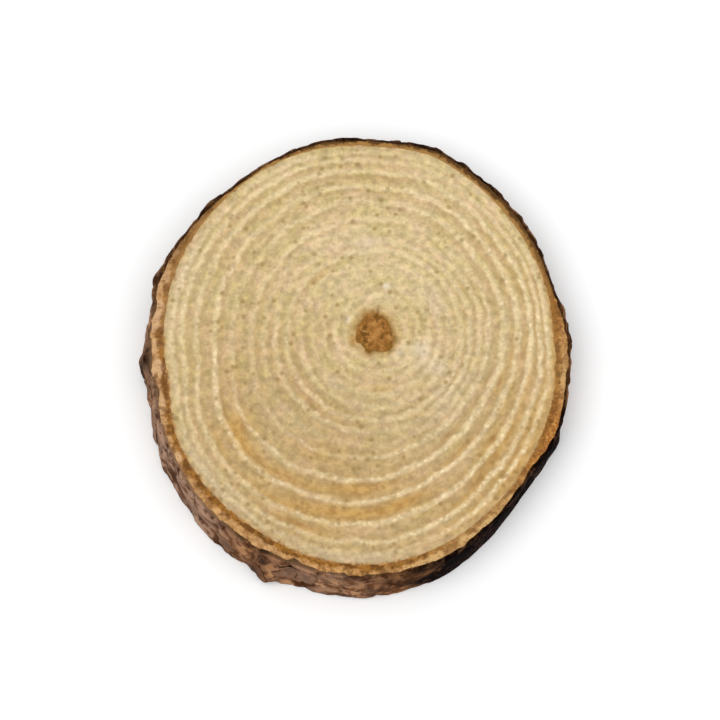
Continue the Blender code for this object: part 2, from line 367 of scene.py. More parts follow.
def bark_radius(angle, height):
    """Outside of the bark, as (radius, crack, layers left)."""
    bark = bark_thickness(angle)
    rugged = 1.0 - smooth_side(angle)
    calm = 1.0 - SMOOTH_SHARE * smooth_side(angle)
    roughness = np.clip(bark / FULL_BARK, LEAST_RELIEF, 1.0) * calm
    plates, crack = plate_relief(angle, height)
    flakes, left = flake_layers(angle, height)
    grain = GRAIN_RELIEF * over_side(71, 300, 8, angle, height, 3)
    ridges = RIDGE_RELIEF * over_side(72, 420, 3, angle, height)
    relief = roughness * (plates + rugged * (flakes + grain + ridges))
    relief += spots(angle, height, KNOBS) - spots(angle, height, SCARS)
    thinnest = INNER_BARK_SHARE * bark + LEAST_OUTER_BARK
    return wood_radius(angle, height) + np.maximum(bark + relief, thinnest), crack * calm, left


def placed(radius, angle, height):
    """Points in metres from the pith's polar values, with the log's lean taken in."""
    below = 1.0 - height / THICKNESS
    x = PITH_X + LEAN_X * below + radius * np.cos(angle)
    y = PITH_Y + LEAN_Y * below + radius * np.sin(angle)
    return np.stack((x, y, height), axis=-1) * MM


def on_cylinder(angle, size, rise):
    """Places for a pattern: (size times cosine, size times sine, rise)."""
    return np.stack((size * np.cos(angle), size * np.sin(angle), rise), axis=-1)


# Meshes from grids

def tube_faces(rows, columns, closed):
    """Quads of a grid that wraps round its columns, and round its rows too if closed."""
    row = np.arange(rows if closed else rows - 1)[:, None]
    column = np.arange(columns)[None, :]
    here = row * columns + column
    beside = row * columns + (column + 1) % columns
    below = ((row + 1) % rows) * columns
    return np.stack((here, below + column, below + (column + 1) % columns, beside), axis=-1).reshape(-1, 4)


def pole_faces(ring_start, columns, pole, flip):
    """Triangles from one ring of points to a single pole."""
    here = ring_start + np.arange(columns)
    beside = ring_start + (np.arange(columns) + 1) % columns
    middle = np.full(columns, pole)
    corners = (middle, beside, here) if flip else (middle, here, beside)
    return np.stack(corners, axis=-1)


def make_piece(name, points, faces, values, material):
    """A smooth shaded mesh piece from whole arrays, with its values stored at its points."""
    mesh = bpy.data.meshes.new(name)
    sizes = [len(face_set) for face_set in faces]
    corners = [face_set.shape[1] for face_set in faces]
    loops = np.concatenate([face_set.ravel() for face_set in faces]).astype(np.int32)
    starts = np.concatenate(([0], np.cumsum(np.repeat(corners, sizes))[:-1])).astype(np.int32)
    mesh.vertices.add(len(points))
    mesh.vertices.foreach_set("co", points.astype(np.float32).ravel())
    mesh.loops.add(len(loops))
    mesh.loops.foreach_set("vertex_index", loops)
    mesh.polygons.add(len(starts))
    mesh.polygons.foreach_set("loop_start", starts)
    mesh.update(calc_edges=True)
    mesh.validate()
    for key, array in values.items():
        if array.ndim == 1:
            store = mesh.attributes.new(key, "FLOAT", "POINT")
            store.data.foreach_set("value", array.astype(np.float32))
        else:
            store = mesh.attributes.new(key, "FLOAT_VECTOR", "POINT")
            store.data.foreach_set("vector", array.astype(np.float32).ravel())
    mesh.shade_smooth()
    mesh.materials.append(material)
    piece = bpy.data.objects.new(name, mesh)
    bpy.context.scene.collection.objects.link(piece)
    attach(piece, "root")
    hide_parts("wood_slice")
    return piece


# Colours and shader nodes

def paint(colour):
    """A linear colour from everyday (red, green, blue) values. A node's output stays as it is."""
    if not isinstance(colour, tuple):
        return colour
    linear = []
    for part in colour:
        value = part / 255.0
        linear.append(value / 12.92 if value <= 0.04045 else ((value + 0.055) / 1.055) ** 2.4)
    return (*linear, 1.0)


class Finish:
    """A material that is put together from nodes, with one short call for each kind of node.

    colour is what has been laid down so far. Each wash and each shade changes it.
    """

    def __init__(self, name):
        self.material = bpy.data.materials.new(name)
        self.material.use_nodes = True
        self.tree = self.material.node_tree
        self.shader = self.tree.nodes["Principled BSDF"]
        self.object_place = self.tree.nodes.new("ShaderNodeTexCoord").outputs["Object"]
        self.colour = None

    def node(self, kind, inputs, **settings):
        """One node. inputs gives a plain value or another node's output for each socket."""
        made = self.tree.nodes.new(kind)
        for key, value in settings.items():
            setattr(made, key, value)
        for key, value in inputs.items():
            if isinstance(value, bpy.types.NodeSocket):
                self.tree.links.new(value, made.inputs[key])
            else:
                made.inputs[key].default_value = value
        return made

    def maths(self, operation, *values):
        return self.node("ShaderNodeMath", dict(enumerate(values)), operation=operation).outputs[0]

    def sum(self, first, second):
        return self.maths("ADD", first, second)

    def times(self, first, *others):
        for other in others:
            first = self.maths("MULTIPLY", first, other)
        return first

    def swing(self, value, size):
        """A noise's swing to both sides of a half, made this much larger."""
        return self.times(self.sum(value, -0.5), size)

    def between(self, value, low, high, out_low=0.0, out_high=1.0):
        """Maps low..high to out_low..out_high along an S-curve, held beyond both ends."""
        inputs = {0: value, 1: low, 2: high, 3: out_low, 4: out_high}
        return self.node("ShaderNodeMapRange", inputs, interpolation_type="SMOOTHSTEP").outputs[0]

    def stored(self, name, output="Fac"):
        """A value that the piece has at its points."""
        return self.node("ShaderNodeAttribute", {}, attribute_name=name).outputs[output]

    def patchy(self, name, value, low, high, out_low, out_high=1.0):
        """A stored value, broken up by another value's range."""
        return self.times(self.stored(name), self.between(value, low, high, out_low, out_high))

    def moved(self, by):
        """The place on the piece, shifted so that a pattern there doesn't repeat another's."""
        if by == 0.0:
            return self.object_place
        inputs = {"Vector": self.object_place, "Location": (by, 2.0 * by, 0.0)}
        return self.node("ShaderNodeMapping", inputs).outputs[0]

    def clouds(self, vector, scale, detail, rough):
        inputs = {"Vector": vector, "Scale": scale, "Detail": detail, "Roughness": rough}
        return self.node("ShaderNodeTexNoise", inputs).outputs["Fac"]

    def noise(self, scale, detail=2.0, rough=0.6, by=0.0):
        return self.clouds(self.moved(by), scale, detail, rough)

    def drawn_out(self, name, stretch, detail=2.0, rough=0.6):
        """Noise over a stored place, stretched along its three directions."""
        inputs = {"Vector": self.stored(name, "Vector"), "Scale": stretch}
        return self.clouds(self.node("ShaderNodeMapping", inputs).outputs[0], 1.0, detail, rough)

    def cells(self, scale, by=0.0):
        inputs = {"Vector": self.moved(by), "Scale": scale}
        return self.node("ShaderNodeTexVoronoi", inputs).outputs["Distance"]

    def mixed(self, amount, first, second, blend="MIX"):
        inputs = {0: amount, 6: paint(first), 7: paint(second)}
        return self.node("ShaderNodeMix", inputs, data_type="RGBA", blend_type=blend).outputs[2]

    def toned(self, value, low, high, first, second):
        """One colour below low, another above high, and an S-curve between."""
        return self.mixed(self.between(value, low, high), first, second)

    def ramp(self, value, stops):
        """Colours along a value: stops are (place, colour)."""
        made = self.node("ShaderNodeValToRGB", {0: value})
        band = made.color_ramp
        for _ in stops[2:]:
            band.elements.new(0.5)
        for element, (place, colour) in zip(band.elements, stops):
            element.position = place
            element.color = paint(colour)
        return made.outputs[0]

    def wash(self, amount, colour, share=1.0):
        """Covers the colour so far with another one, by a share of an amount."""
        self.colour = self.mixed(self.times(amount, share), self.colour, colour)

    def tint(self, value, low, high, share, colour):
        """Washes where a value goes from low to high, up to a share."""
        self.wash(self.between(value, low, high, 0.0, share), colour)

    def shade(self, value, low, high, out_low, out_high):
        """Multiplies the colour so far by a grey that follows a value."""
        grey = self.between(value, low, high, out_low, out_high)
        self.colour = self.mixed(1.0, self.colour, grey, "MULTIPLY")

    def finish(self, value, smoothest, roughest, height, bump_mm, specular):
        """Joins all to the shader. The roughness follows a noise, and the bump a height."""
        roughness = self.between(value, 0.3, 0.7, smoothest, roughest)
        inputs = {"Height": height, "Distance": bump_mm * MM, "Strength": 1.0}
        bump = self.node("ShaderNodeBump", inputs).outputs[0]
        for socket, output in (("Base Color", self.colour), ("Roughness", roughness), ("Normal", bump)):
            self.tree.links.new(output, self.shader.inputs[socket])
        self.shader.inputs["Specular IOR Level"].default_value = specular
        return self.material


def wood_finish():
    """Sanded pale wood: mottled, with a dark and a dotted cream line for each year, and amber stains."""
    made = Finish("Sawn Wood")
    made.colour = made.toned(made.noise(45.0, 2.0, 0.5), 0.35, 0.65, (203, 176, 123), (213, 190, 141))
    hue = made.drawn_out("band", (0.17, 0.17, 0.36))
    made.tint(hue, 0.50, 0.68, 0.6, (222, 188, 150))
    made.tint(hue, 0.50, 0.32, 0.6, (202, 182, 118))
    pinkish = made.noise(110.0, by=0.31)
    made.tint(pinkish, 0.48, 0.72, 0.5, (218, 186, 148))
    olive = made.noise(160.0, by=0.57)
    made.tint(olive, 0.48, 0.72, 0.5, (196, 175, 114))
    cloudy = made.noise(190.0, 3.0)
    made.wash(made.patchy("golden", cloudy, 0.35, 0.65, 0.35), (182, 144, 74))
    # Paler wood, and a painted sheen to the right of the pith
    made.wash(made.patchy("pale", olive, 0.35, 0.6, 0.5), (232, 216, 192))

    made.wash(made.stored("dim"), (200, 158, 96), 0.22)
    made.shade(made.stored("dim"), 0.0, 1.0, 1.0, 0.87)
    streaks = made.drawn_out("band", (0.46, 0.46, 0.48), 2.0, 0.55)
    made.shade(streaks, 0.34, 0.66, 0.82, 1.05)
    mottle = made.noise(600.0)
    made.shade(mottle, 0.34, 0.66, 0.82, 1.06)
    rays = made.drawn_out("growth", (75.0, 75.0, 4.0))
    made.shade(rays, 0.38, 0.62, 0.94, 1.0)

    # from_line is how far out a point lies from its nearest growth line, in millimetres
    year = made.stored("year")
    wobble = made.swing(made.noise(150.0), 2.6)
    count = made.sum(made.stored("ring"), made.maths("DIVIDE", wobble, year))
    part_of_year = made.sum(made.maths("FRACT", made.sum(count, 0.5)), -0.5)
    from_line = made.times(part_of_year, year)
    cream = made.times(made.between(from_line, -0.90, 0.10), made.between(from_line, 1.25, 0.25))
    dark = made.times(made.between(from_line, -2.60, -1.20), made.between(from_line, -0.15, -0.85))
    dull = made.between(from_line, 0.80, 1.50)
    broken = made.drawn_out("band", (0.60, 0.60, 0.25))
    dots = made.between(made.cells(760.0), 0.58, 0.18)
    pores = made.between(made.cells(400.0, by=0.45), 0.34, 0.10)
    pores = made.times(pores, made.between(olive, 0.42, 0.56))
    dark = made.times(made.sum(dark, made.times(dull, 0.5)), made.stored("dark"))
    dark = made.times(dark, made.between(broken, 0.62, 0.36, 0.6, 1.0), 0.62)
    made.wash(dark, (168, 132, 76))
    amber = made.toned(streaks, 0.36, 0.64, (164, 120, 52), (192, 150, 80))
    made.wash(made.patchy("amber", cloudy, 0.30, 0.60, 0.8), amber)
    made.wash(made.patchy("brown", mottle, 0.30, 0.60, 0.55), (138, 92, 36))
    cream = made.times(cream, made.stored("cream"), made.between(broken, 0.36, 0.60, 0.34, 1.0))
    cream = made.times(cream, made.between(dots, 0.0, 1.0, 0.55, 1.0))
    made.wash(cream, (238, 216, 172))
    made.wash(pores, (144, 114, 60), 0.65)

    halo = made.toned(mottle, 0.35, 0.65, (124, 84, 26), (168, 124, 60))
    made.wash(made.patchy("halo", cloudy, 0.35, 0.60, 0.6), halo, 0.92)
    # Painted shade: the hairline checks are painted dark brown, following their depth
    made.wash(made.stored("check"), (112, 80, 40))
    to_bark = made.sum(made.stored("to_bark"), made.swing(made.noise(420.0, 3.0), 2.0))
    edge = made.toned(mottle, 0.4, 0.6, (122, 80, 30), (168, 118, 56))
    made.wash(made.between(to_bark, 0.9, 0.1), edge)

    grain = made.noise(1500.0, 3.0)
    height = made.sum(made.times(mottle, 0.8), made.sum(made.times(pores, -0.7), made.times(grain, 0.6)))
    return made.finish(pinkish, 0.52, 0.72, height, 0.10, 0.35)


def pith_finish():
    """Soft brown pith with small dark hollows, and a dull golden brown towards its edge."""
    made = Finish("Pith")
    grain = made.noise(520.0, 3.0)
    made.colour = made.ramp(grain, ((0.30, (108, 70, 20)), (0.48, (150, 100, 44)), (0.68, (180, 132, 72))))
    hollows = made.between(made.noise(420.0, by=0.73), 0.47, 0.36)
    made.wash(hollows, (92, 60, 10), 0.80)
    clumps = made.noise(330.0, 2.0, 0.5)
    made.wash(made.patchy("rim", clumps, 0.40, 0.58, 0.25), (128, 88, 28))
    fine = made.noise(1700.0, 3.0)
    height = made.sum(made.times(fine, 0.7), made.times(hollows, -1.0))
    return made.finish(grain, 0.75, 0.92, height, 0.16, 0.15)


def inner_bark_finish():
    """Fibrous inner bark cut across: a brown line by the wood, then tan, pinkish or orange."""
    made = Finish("Inner Bark")
    speckle = made.noise(560.0, 3.0, 0.65)
    blotch = made.noise(250.0, 3.0, by=0.41)
    fibres = made.drawn_out("fibre", (1.0, 1.0, 1.0), 3.0)
    made.colour = made.toned(speckle, 0.36, 0.64, (150, 104, 54), (200, 154, 98))
    made.wash(made.patchy("pinkish", blotch, 0.38, 0.58, 1.0, 0.35), (202, 164, 124))
    burnt = made.toned(fibres, 0.34, 0.64, (136, 78, 20), (190, 128, 56))
    made.wash(made.patchy("orange", speckle, 0.30, 0.62, 0.6), burnt)
    made.wash(made.patchy("woody", blotch, 0.35, 0.60, 1.0, 0.6), (196, 162, 106))
    made.tint(blotch, 0.50, 0.66, 0.65, (136, 92, 50))
    made.tint(fibres, 0.50, 0.72, 0.25, (214, 174, 122))
    made.tint(fibres, 0.47, 0.30, 0.45, (120, 78, 38))
    spots = made.between(made.noise(430.0, by=0.67), 0.54, 0.66)
    made.wash(spots, (104, 66, 26), 0.65)
    ragged_out = made.sum(made.swing(speckle, 1.6), made.swing(blotch, -3.4))
    line = made.between(made.sum(made.stored("out"), ragged_out), 1.5, 0.5)
    line_colour = made.toned(speckle, 0.38, 0.62, (104, 64, 16), (154, 104, 38))
    made.wash(made.times(line, made.stored("line")), line_colour)
    outward = made.sum(made.stored("out"), made.swing(speckle, 3.0))
    browned = made.toned(outward, 0.0, 0.8, (158, 116, 60), (84, 54, 16))
    made.wash(made.stored("browned"), browned)
    grain = made.noise(1400.0, 3.0, 0.65)
    height = made.sum(made.times(grain, 0.7), fibres)
    return made.finish(grain, 0.68, 0.88, height, 0.16, 0.2)


def bark_finish():
    """Outer bark: dark where it is cut across, and weathered layers, cracks and scars on the side. The cracks
    get painted shade, and the smooth side is painted black as shade over its dark bark.
    """
    made = Finish("Bark")
    layers = made.sum(made.stored("layers"), made.swing(made.noise(420.0, 3.0, 0.5), 1.6))
    made.colour = made.ramp(made.times(layers, 0.25), (
        (0.00, (198, 148, 98)), (0.25, (168, 122, 84)), (0.50, (134, 94, 64)),
        (0.75, (98, 62, 36)), (1.00, (60, 34, 16))))
    patches = made.noise(240.0, 3.0)
    made.tint(patches, 0.50, 0.68, 0.6, (144, 100, 66))
    streaks = made.drawn_out("along", (1.0, 1.0, 1.0), 3.0)
    made.tint(streaks, 0.52, 0.66, 0.75, (160, 110, 66))
    made.wash(made.stored("greyed"), (166, 136, 116))
    made.tint(streaks, 0.50, 0.38, 0.8, (88, 50, 26))
    made.tint(patches, 0.49, 0.37, 0.85, (66, 34, 12))
    specks = made.between(made.cells(520.0, by=0.27), 0.36, 0.12)
    made.wash(specks, (64, 38, 20), 0.65)
    # Painted shade: the cracks between the bark plates are painted darker
    made.tint(made.stored("crack"), 0.55, 1.0, 0.35, (40, 20, 9))

    crumbs = made.noise(620.0, 3.0, 0.65)
    section = made.ramp(crumbs, (
        (0.30, (30, 18, 7)), (0.48, (54, 34, 14)), (0.60, (88, 58, 30)), (0.74, (140, 102, 66))))
    section = made.mixed(made.times(made.stored("greyed"), 0.70), section, (164, 130, 100))
    made.colour = made.mixed(made.stored("side"), section, made.colour)
    # Painted shade: the smooth side turned away from the key light is painted near black with a little
    # reddish brown, over its dark bark
    painted_shade_black = made.toned(crumbs, 0.42, 0.66, (8, 2, 2), (40, 23, 16))
    made.wash(made.patchy("shade_and_dark_bark", streaks, 0.54, 0.70, 1.0, 0.82), painted_shade_black)

    grain = made.noise(1300.0, 4.0, 0.65)
    height = made.sum(grain, made.times(made.cells(900.0), 0.5))
    return made.finish(grain, 0.72, 0.92, height, 0.22, 0.02)


def scale_finish():
    """Loose scales: dark weathered outside, pinkish brown where the edge is freshly broken."""
    made = Finish("Bark Scales")
    made.colour = made.ramp(made.noise(330.0, 3.0), (
        (0.30, (44, 25, 14)), (0.48, (84, 56, 38)), (0.64, (122, 90, 70)), (0.78, (150, 116, 98))))
    made.wash(made.stored("rim"), (146, 98, 62))
    made.wash(made.stored("greyed"), (152, 122, 102))
    # Painted shade and dark bark: scales are painted black where the bark under them is
    made.wash(made.stored("shade_and_dark_bark"), (8, 2, 2))
    grain = made.noise(1500.0, 4.0, 0.65)
    return made.finish(grain, 0.72, 0.92, grain, 0.16, 0.02)


# The wood

# Stained places on the sawn face, which follow the growth lines:
# (angle, share of the radius, half width in degrees, half width out in mm, amount)
AMBER_PLACES = (
    (222, 0.735, 11, 1.5, 0.65), (240, 0.725, 12, 1.2, 0.55), (266, 0.710, 14, 1.5, 0.80),
    (262, 0.800, 22, 1.4, 0.85), (280, 0.790, 7, 1.2, 0.55), (240, 0.830, 14, 0.7, 0.45),
    (249, 0.885, 9, 0.9, 0.60), (216, 0.700, 5, 2.4, 0.65), (216, 0.805, 6, 0.7, 0.50),
    (316, 0.870, 16, 1.1, 0.75), (338, 0.860, 9, 0.9, 0.50), (322, 0.925, 18, 0.8, 0.60),
    (314, 0.820, 6, 1.0, 0.60), (336, 0.715, 9, 0.9, 0.55), (350, 0.740, 8, 1.4, 0.40),
    (288, 0.955, 12, 0.9, 0.45), (316, 0.968, 18, 1.3, 0.75), (342, 0.955, 12, 1.0, 0.55),
    (354, 0.800, 8, 1.4, 0.35), (304, 0.735, 10, 1.2, 0.45), (330, 0.790, 12, 1.0, 0.50),
    (299, 0.900, 8, 0.8, 0.50), (349, 0.988, 12, 0.9, 0.60), (8, 0.990, 14, 0.6, 0.55),
    (201, 0.112, 16, 1.0, 1.00), (135, 0.395, 14, 0.9, 0.45), (276, 0.270, 14, 1.0, 0.40),
    (200, 0.690, 10, 1.6, 0.25),
    (245, 0.600, 20, 1.8, 0.30), (226, 0.430, 14, 0.9, 0.40), (10, 0.910, 20, 1.2, 0.25),
    (255, 0.620, 50, 12.0, 0.10), (275, 0.880, 60, 6.0, 0.12),
)
BROWN_PLACES = (
    (249, 0.878, 4, 0.40, 0.55), (303, 0.880, 3, 0.50, 0.60), (308, 0.862, 3, 0.45, 0.55),
    (316, 0.820, 3, 0.55, 0.70), (282, 0.795, 3, 0.60, 0.40), (303, 0.640, 5, 0.55, 0.50),
    (337, 0.645, 4, 0.70, 0.50), (325, 0.642, 5, 0.50, 0.35), (336, 0.715, 3, 0.45, 0.50),
    (337, 0.585, 2, 0.80, 0.40), (248, 0.552, 2, 0.70, 0.40), (217, 0.245, 4, 0.40, 0.35),
    (208, 0.735, 3, 0.45, 0.50), (246, 0.812, 2, 0.35, 0.40), (313, 0.925, 10, 0.35, 0.35),
    (29, 0.510, 2, 0.60, 0.35), (140, 0.690, 8, 0.40, 0.30), (245, 0.424, 10, 0.35, 0.35),
    (84, 0.140, 5, 0.50, 0.50), (324, 0.140, 5, 0.40, 0.30), (188, 0.555, 4, 0.60, 0.30),
)
# Where the growth lines fade, in the same order
FADED_PLACES = (
    (268, 0.530, 34, 3.4, 0.75), (250, 0.275, 60, 3.4, 0.50), (100, 0.300, 50, 7.0, 0.45),
    (150, 0.480, 26, 3.5, 0.45), (205, 0.560, 14, 5.0, 0.45), (60, 0.560, 18, 3.0, 0.35),
)
# Where the wood is paler, in the same order. The first three, to the right of the pith, are a painted sheen.
PALE_AND_SHEEN_PLACES = (
    (335, 0.240, 18, 2.6, 0.75), (330, 0.340, 8, 2.8, 0.60), (322, 0.150, 16, 1.2, 0.60),
    (78, 0.245, 4, 0.80, 0.95), (315, 0.500, 10, 3.5, 0.35), (30, 0.330, 18, 3.0, 0.35),
    (96, 0.460, 9, 1.8, 0.35), (152, 0.150, 10, 0.6, 0.50), (265, 0.975, 18, 1.2, 0.45),
    (222, 0.950, 12, 1.6, 0.35), (160, 0.950, 14, 1.4, 0.25), (232, 0.325, 12, 1.2, 0.35),
)


def stains(angle, share, places):
    """Sum of bell-shaped patches that run along the growth lines."""
    total = np.zeros(angle.shape)
    for degrees, middle, half_round, half_out, amount in places:
        along = bell(angle_gap(angle, degrees), math.radians(half_round))
        total += amount * along * bell((share - middle) * MEAN_WOOD, half_out)
    return np.clip(total, 0.0, 1.0)


def face_shares(fill, offsets):
    """Rows across a sawn face: even rows, with closer ones at each growth line and round the pith."""
    even = np.linspace(0.006, 1.0, fill)
    grooves = (RING_SHARES[:, None] + np.array(offsets)[None, :] / MEAN_WOOD).ravel()
    edge = 1.0 - np.array((0.9, 0.6, 0.4, 0.2)) / MEAN_WOOD
    close = np.unique(np.concatenate((grooves, PITH_ROWS / MEAN_WOOD)))
    far_enough = np.abs(even[:, None] - close[None, :]).min(axis=1) > CLOSEST_ROWS / MEAN_WOOD
    return np.unique(np.concatenate((even[far_enough], close, edge)))


def ring_count(share):
    """How many growth lines lie inside a point, running on smoothly between the lines."""
    known = np.concatenate(([0.0], RING_SHARES, [1.02]))
    return np.interp(share, known, np.arange(len(known)))


def line_values(share, angle, radius):
    """The year's width at each point, and how pale and how dark its nearest line is there."""
    tones = np.array(LINE_TONES)
    nearest = np.abs(share[..., None] - RING_SHARES).argmin(axis=-1)
    year = np.gradient(radius, axis=0) / np.maximum(np.gradient(ring_count(share), axis=0), 1e-3)
    outer = smooth_step(0.45, 0.70, share)
    clear = round_curve(LINE_CLARITY, angle) * outer + round_curve(INNER_CLARITY, angle) * (1.0 - outer)
    clear = clear * (0.85 + 0.35 * rough(34, 12, 16, angle / TURN, share, 2))
    clear = clear * (1.0 - stains(angle, share, FADED_PLACES))
    cream = np.clip(tones[nearest, 0] * clear, 0.0, 1.0)
    dark = np.clip(tones[nearest, 1] * clear, 0.0, 1.0)
    return np.maximum(year, NARROWEST_YEAR), cream, dark


def check_depth(angle, radius):
    """Hairline checks that run out from the pith and close towards their ends."""
    total = np.zeros(angle.shape)
    for degrees, first, last, half_width, depth in CHECKS:
        along = smooth_step(first - 0.6, first, radius) * (1.0 - smooth_step(first, last, radius))
        total += depth * along * bell(angle_gap(angle, degrees) * radius, half_width)
    return total


def face_sink(share, angle, radius):
    """How far a sawn face lies below flat: grooves, the pith's socket, checks and the cambium's edge."""
    nearest = np.abs(share[..., None] - RING_SHARES).min(axis=-1) * radius / np.maximum(share, 1e-3)
    change = 0.65 + 0.35 * rough(31, 24, 20, angle / TURN, share, 2)
    groove = GROOVE_DEPTH * change * bell(nearest, GROOVE_HALF_WIDTH)
    ragged = 1.0 + PITH_SOCKET_RAGGED * rough(32, 26, 3, angle / TURN, share * 4.0, 3)
    socket = PITH_SOCKET_DEPTH * smooth_step(1.12, 0.86, radius / (pith_radius(angle) * ragged))
    edge = CAMBIUM_DEPTH * bell((1.0 - share) * radius, CAMBIUM_HALF_WIDTH)
    wave = SANDING_WAVE * (1.0 + rough(33, 14, 9, angle / TURN, share, 2))
    return np.maximum(groove + socket + edge + wave + check_depth(angle, radius), 0.0)


def saw_marks(angle, radius):
    """Faint ridges across the underside, left by the saw: a sine wave with bent, fading crests."""
    x, y = radius * np.cos(angle), radius * np.sin(angle)
    bent = y + 0.02 * x + 0.5 * blotches(35, 9, 9, x / 120.0, y / 120.0)
    fading = 0.5 + 0.5 * blotches(36, 14, 14, x / 120.0, y / 120.0)
    return SAW_MARK_DEPTH * fading * (1.0 + np.sin(TURN * bent / SAW_MARK_WIDTH))


def with_poles(grid, at_pole=0.0):
    """The grid's values in one row, with the value at its two poles after them."""
    flat = grid.reshape(-1, *grid.shape[2:])
    return np.concatenate((flat, np.full((2, *flat.shape[1:]), at_pole)))


def capped_tube(radius, around, height, pole_sink):
    """Points and faces of a grid of rows from a top pole, out, down and in to a low pole."""
    rows, columns = radius.shape
    last = rows * columns
    faces = (
        tube_faces(rows, columns, closed=False),
        pole_faces(0, columns, last, flip=False),
        pole_faces(last - columns, columns, last + 1, flip=True),
    )
    poles = placed(np.zeros(2), np.zeros(2), np.array((THICKNESS - pole_sink, pole_sink)))
    return np.concatenate((placed(radius, around, height).reshape(-1, 3), poles)), faces


def make_wood():
    """Both sawn faces and the hidden wall between them, as one closed body.

    A row is a growth line: its radius at each angle comes from the share of the wood's
    radius that it lies at. Rows run from the top pole out, down the wall and back in.
    """
    top = face_shares(FACE_ROWS_TOP, GROOVE_ROWS_TOP)
    under = face_shares(FACE_ROWS_UNDER, GROOVE_ROWS_UNDER)[::-1]
    angle = np.arange(WOOD_COLUMNS) * TURN / WOOD_COLUMNS
    share, around = np.meshgrid(np.concatenate((top, under)), angle, indexing="ij")
    on_top = (np.arange(len(share)) < len(top))[:, None] & np.full(around.shape, True)
    level = np.where(on_top, THICKNESS, 0.0)
    radius = ring_shape(share, around, level)
    sink = face_sink(share, around, radius) + np.where(on_top, 0.0, saw_marks(around, radius))
    height = np.where(on_top, THICKNESS - sink, sink)
    points, faces = capped_tube(radius, around, height, PITH_SOCKET_DEPTH)

    halves = (slice(len(top)), slice(len(top), None))
    parts = [line_values(share[half], around[half], radius[half]) for half in halves]
    year, cream, dark = (np.concatenate(pair) for pair in zip(*parts))
    beyond_pith = radius - pith_radius(around)
    values = {
        "growth": with_poles(on_cylinder(around, 1.0, share)),
        "band": with_poles(on_cylinder(around, radius, share * MEAN_WOOD)),
        "ring": with_poles(ring_count(share)),
        "year": with_poles(year, NARROWEST_YEAR),
        "cream": with_poles(cream),
        "dark": with_poles(dark),
        "amber": with_poles(stains(around, share, AMBER_PLACES)),
        "brown": with_poles(stains(around, share, BROWN_PLACES)),
        # Paler wood, with a painted sheen to the right of the pith
        "pale": with_poles(stains(around, share, PALE_AND_SHEEN_PLACES)),
        "golden": with_poles(smooth_step(3.6, 0.0, beyond_pith), 1.0),
        "halo": with_poles(smooth_step(1.5, 0.1, beyond_pith), 1.0),
        "dim": with_poles(smooth_step(0.1, 0.5, share) * (0.5 - 0.5 * np.sin(around))),
        # Painted shade inside the checks, from their depth
        "check": with_poles(np.clip(check_depth(around, radius) * 2.6, 0.0, 1.0)),
        "to_bark": with_poles((1.0 - share) * radius + 0.5 - 0.5 * round_curve(CAMBIUM_CLARITY, around), 9.0),
    }
    return make_piece("sawn_wood", points, faces, values, wood_finish())


def make_pith():
    """The pith: a rough plug right through the slice, whose wall is hidden in the wood."""
    share = np.concatenate((np.linspace(0.06, 1.0, 16), np.linspace(1.0, 0.06, 16)))
    angle = np.arange(PITH_COLUMNS) * TURN / PITH_COLUMNS
    share, around = np.meshgrid(share, angle, indexing="ij")
    radius = PITH_HIDDEN_REACH * share * pith_radius(around)
    on_top = np.arange(len(share))[:, None] < len(share) // 2
    x, y = radius * np.cos(around), radius * np.sin(around)
    sink = PITH_DEPTH + PITH_CRUMBLE * rough(37, 11, 11, x / 13.0, y / 13.0, 3)
    height = np.where(on_top, THICKNESS - sink, sink)
    points, faces = capped_tube(radius, around, height, PITH_DEPTH)
    values = {"rim": with_poles(smooth_step(0.62, 0.84, share))}
    return make_piece("pith", points, faces, values, pith_finish())


# The bark

# Where the bark is orange, pinkish, browned, like wood or grey: (angle, half width in degrees, amount)
ORANGE_PLACES = (
    (9, 12, 0.80), (352, 8, 0.35), (333, 9, 0.80), (322, 9, 0.85), (25, 10, 0.40), (262, 8, 0.25),
)
PINKISH_PLACES = ((172, 14, 0.75), (195, 14, 0.70), (215, 10, 0.45), (246, 6, 0.30))
BROWNED_PLACES = (
    (30, 18, 0.75), (56, 18, 0.90), (84, 22, 0.90), (112, 20, 0.90), (138, 12, 0.70),
    (156, 8, 0.35),
)
WOODY_PLACES = ((296, 13, 0.85), (282, 6, 0.40), (349, 7, 0.80))
GREYED_PLACES = ((182, 12, 0.45), (210, 16, 0.75), (228, 8, 0.45), (258, 12, 0.35))
DARK_PLACES = (
    (20, 28, 0.75), (62, 24, 0.80), (104, 28, 0.80), (140, 14, 0.65), (164, 9, 0.45),
    (187, 3, 0.85), (244, 2, 0.60),
)


def round_places(angle, places):
    """Sum of bell-shaped amounts round the slice, held between 0 and 1."""
    total = np.zeros(angle.shape)
    for degrees, half_width, amount in places:
        total += amount * bell(angle_gap(angle, degrees), math.radians(half_width))
    return np.clip(total, 0.0, 1.0)


def shade_and_dark_bark(angle, height):
    """How black the bark is: painted shade, fully on the smooth side turned away from the key light, over its
    dark bark, with a ragged border; and dark bark, partly, elsewhere.
    """
    ragged = 4.0 * over_side(81, 60, 6, angle, height)
    off = np.degrees(angle_gap(angle, SMOOTH_SIDE_ANGLE + 3)) + ragged
    dark = round_places(angle, DARK_PLACES) * (0.8 + 0.4 * over_side(82, 90, 9, angle, height))
    return np.maximum(smooth_step(36.0, 25.0, np.abs(off)), np.clip(dark, 0.0, 1.0))


